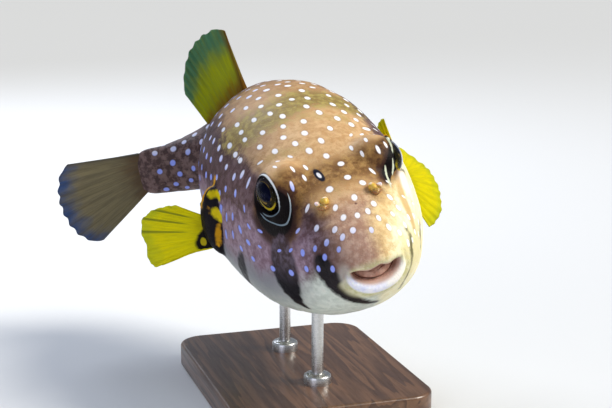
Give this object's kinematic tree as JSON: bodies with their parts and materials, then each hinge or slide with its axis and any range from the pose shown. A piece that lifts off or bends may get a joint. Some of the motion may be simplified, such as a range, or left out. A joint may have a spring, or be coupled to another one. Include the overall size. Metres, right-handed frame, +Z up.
{
  "type": "white-spotted pufferfish (Arothron hispidus), museum model",
  "caption": "Life-size white-spotted pufferfish, plump and blunt-headed, tail curled to its right, held on short rods over a flat wooden base.",
  "frame": {"origin": "centre of the stand base's underside", "axes": "+Z up, -Y the way the fish looks, +X the fish's left side; the fish is pitched 7 degrees head down and banked 14 degrees to its right"},
  "size_m": [0.1968, 0.2136, 0.184],
  "materials": {
    "skin": "satin, wet-looking museum paint",
    "belly_skin": "satin",
    "lips": "satin",
    "mouth": "gloss",
    "eye": "gloss",
    "nostril_flap": "gloss",
    "pectoral_base": "satin",
    "pectoral_fin": "satin, slightly translucent",
    "back_fin": "satin, slightly translucent",
    "stand_wood": "satin varnish",
    "stand_steel": "brushed"
  },
  "bodies": {
    "root": {"head": "skin", "upper_lip": "lips", "lower_lip": "lips", "mouth_lining": "mouth", "trunk": "skin", "belly": "belly_skin", "tail_stalk": "skin", "eye_left": "eye", "eye_right": "eye", "nostril_left": "nostril_flap", "nostril_right": "nostril_flap", "pectoral_base_left": "pectoral_base", "pectoral_base_right": "pectoral_base", "pectoral_fin_left": "pectoral_fin", "pectoral_fin_right": "pectoral_fin", "dorsal_fin": "back_fin", "anal_fin": "back_fin", "tail_fin": "back_fin", "stand_base": "stand_wood", "stand_rod_front": "stand_steel", "stand_rod_rear": "stand_steel", "stand_collar_front": "stand_steel", "stand_collar_rear": "stand_steel"}
  },
  "joints": []
}
